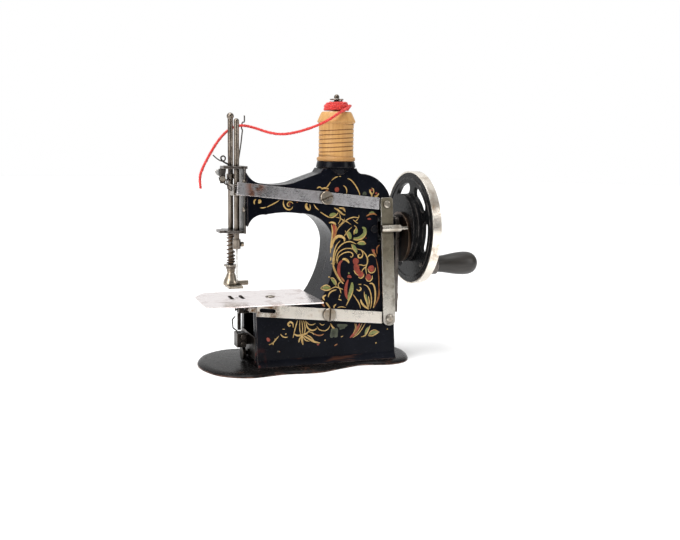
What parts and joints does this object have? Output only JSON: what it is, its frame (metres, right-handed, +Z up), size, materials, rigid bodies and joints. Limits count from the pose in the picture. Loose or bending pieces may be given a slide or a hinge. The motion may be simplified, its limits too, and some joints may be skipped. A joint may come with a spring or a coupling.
{
  "type": "toy sewing machine",
  "caption": "Antique toy chain-stitch sewing machine: pressed metal body on a wavy foot, side levers and link, hand wheel with crank, wooden spool with wool.",
  "frame": {"origin": "on the table, under the middle of the machine's bounding box", "axes": "+X from the needle end to the hand wheel, +Y to the back, +Z up; the levers and the decorated face look along -Y"},
  "size_m": [0.1746, 0.072, 0.1638],
  "materials": {
    "black_enamel": "glossy crackled stove enamel, worn at the edges",
    "foot_enamel": "dull dark enamel worn to brown on the rim",
    "worn_nickel": "worn satin nickel with tarnish",
    "plate_nickel": "bright polished nickel",
    "bar_steel": "dark worn steel",
    "guide_wire": "thin tarnished wire",
    "spring_steel": "rusty spring wire",
    "foot_brass": "warm worn plating",
    "wheel_black": "semi-gloss black enamel",
    "tyre_nickel": "warm bright nickel rim",
    "cam_brown": "worn brown steel",
    "dark_wood": "dark stained turned wood",
    "honey_wood": "honey coloured turned wood",
    "red_yarn": "fuzzy twisted wool"
  },
  "bodies": {
    "root": {"foot_plate": "foot_enamel", "body_front_shell": "black_enamel", "body_rear_shell": "black_enamel", "body_stay_rivet": "worn_nickel", "foot_rivets": "worn_nickel", "spool_seat": "black_enamel", "spool_pin": "bar_steel", "yarn_winding": "red_yarn", "yarn_strand": "red_yarn", "pin_washer": "bar_steel", "bearing_tube": "wheel_black", "end_bracket": "wheel_black", "end_bracket_screw": "tyre_nickel", "upper_pivot_screw": "worn_nickel", "lower_pivot_screw": "worn_nickel", "head_bracket": "black_enamel", "head_bracket_screws": "bar_steel", "lifter_pin": "bar_steel", "needle_plate": "plate_nickel", "plate_screw": "plate_nickel", "looper_guide": "bar_steel", "looper_guide_screws": "bar_steel", "looper_thread_wire": "guide_wire", "knob_bracket": "bar_steel", "long_thread_guide": "guide_wire", "short_thread_guide": "guide_wire", "tension_hook": "guide_wire"},
    "hand_wheel": {"handwheel": "wheel_black", "wheel_tyre": "tyre_nickel", "cam_drum": "wheel_black", "eccentric_cam": "cam_brown", "wheel_shaft": "tyre_nickel", "shaft_nut": "tyre_nickel", "crank_stud": "tyre_nickel", "handle_end_cap": "tyre_nickel"},
    "crank_handle": {"handle_grip": "dark_wood"},
    "upper_lever": {"upper_lever": "worn_nickel"},
    "link": {"link_bar": "worn_nickel", "link_rivet_upper": "worn_nickel", "link_rivet_lower": "worn_nickel", "follower_pin": "worn_nickel"},
    "lower_lever": {"lower_lever": "worn_nickel"},
    "needle_bar": {"needle_bar": "bar_steel", "needle_bar_driver": "bar_steel", "needle_clamp": "bar_steel", "needle": "bar_steel"},
    "clamp_screw": {"needle_clamp_screw": "bar_steel"},
    "presser_bar": {"presser_bar": "bar_steel", "presser_collar": "bar_steel", "presser_spring": "spring_steel", "spring_washer": "bar_steel", "presser_foot": "foot_brass"},
    "presser_lifter": {"presser_lifter": "bar_steel"},
    "looper": {"looper_slide": "bar_steel", "looper_hook": "bar_steel"},
    "feed_dog": {"feed_dog": "bar_steel"},
    "spool": {"spool": "honey_wood"},
    "adjusting_knob": {"adjusting_knob": "bar_steel"}
  },
  "joints": [
    {"name": "wheel_spin", "type": "hinge", "parent": "root", "child": "hand_wheel", "pos_m": [0.051, 0, 0.0816], "axis": [1, 0, 0], "continuous": true},
    {"name": "handle_spin", "type": "hinge", "parent": "hand_wheel", "child": "crank_handle", "pos_m": [0.07, -0.0205, 0.0604], "axis": [1, 0, 0], "continuous": true},
    {"name": "upper_lever_swing", "type": "hinge", "parent": "root", "child": "upper_lever", "pos_m": [-0.011, -0.01013, 0.1015], "axis": [0, 0.994, -0.1093], "range_deg": [-15, 0]},
    {"name": "link_swing", "type": "hinge", "parent": "upper_lever", "child": "link", "pos_m": [0.02807, -0.0106, 0.09728], "axis": [0, 0.994, -0.1093], "range_deg": [0, 15]},
    {"name": "lower_lever_swing", "type": "hinge", "parent": "root", "child": "lower_lever", "pos_m": [-0.011, -0.01784, 0.0315], "axis": [0, 0.994, -0.1093], "range_deg": [-15, 0]},
    {"name": "needle_bar_slide", "type": "slide", "parent": "root", "child": "needle_bar", "axis": [0, 0, 1], "range_m": [-0.0136, 0]},
    {"name": "clamp_screw_turn", "type": "hinge", "parent": "needle_bar", "child": "clamp_screw", "pos_m": [-0.06, 0.001, 0.0736], "axis": [1, 0, 0], "continuous": true},
    {"name": "lifter_turn", "type": "hinge", "parent": "root", "child": "presser_lifter", "pos_m": [-0.0709, 0.005, 0.1125], "axis": [0, 1, 0], "range_deg": [0, 98]},
    {"name": "presser_slide", "type": "slide", "parent": "root", "child": "presser_bar", "axis": [0, 0, 1], "range_m": [-0.0054, 0], "deforming": ["presser_spring"]},
    {"name": "looper_travel", "type": "slide", "parent": "root", "child": "looper", "axis": [0, 0, 1], "range_m": [-0.01243, 0]},
    {"name": "feed_travel", "type": "slide", "parent": "root", "child": "feed_dog", "axis": [0, 1, 0], "range_m": [-0.0023, 0]},
    {"name": "spool_spin", "type": "hinge", "parent": "root", "child": "spool", "pos_m": [-0.001, 0, 0.138], "axis": [0, 0, 1], "continuous": true},
    {"name": "knob_turn", "type": "hinge", "parent": "root", "child": "adjusting_knob", "pos_m": [-0.06, -0.001, 0.0073], "axis": [1, 0, 0], "continuous": true}
  ],
  "couplings": [
    {"joint": "link_swing", "follows": "upper_lever_swing", "ratio": -1},
    {"joint": "lower_lever_swing", "follows": "upper_lever_swing", "ratio": 1},
    {"joint": "needle_bar_slide", "follows": "upper_lever_swing", "m_per_rad": 0.05193},
    {"joint": "looper_travel", "follows": "upper_lever_swing", "m_per_rad": 0.047465},
    {"joint": "feed_travel", "follows": "upper_lever_swing", "m_per_rad": 0.0086},
    {"joint": "lifter_turn", "follows": "presser_slide", "rad_per_m": -316.74}
  ]
}
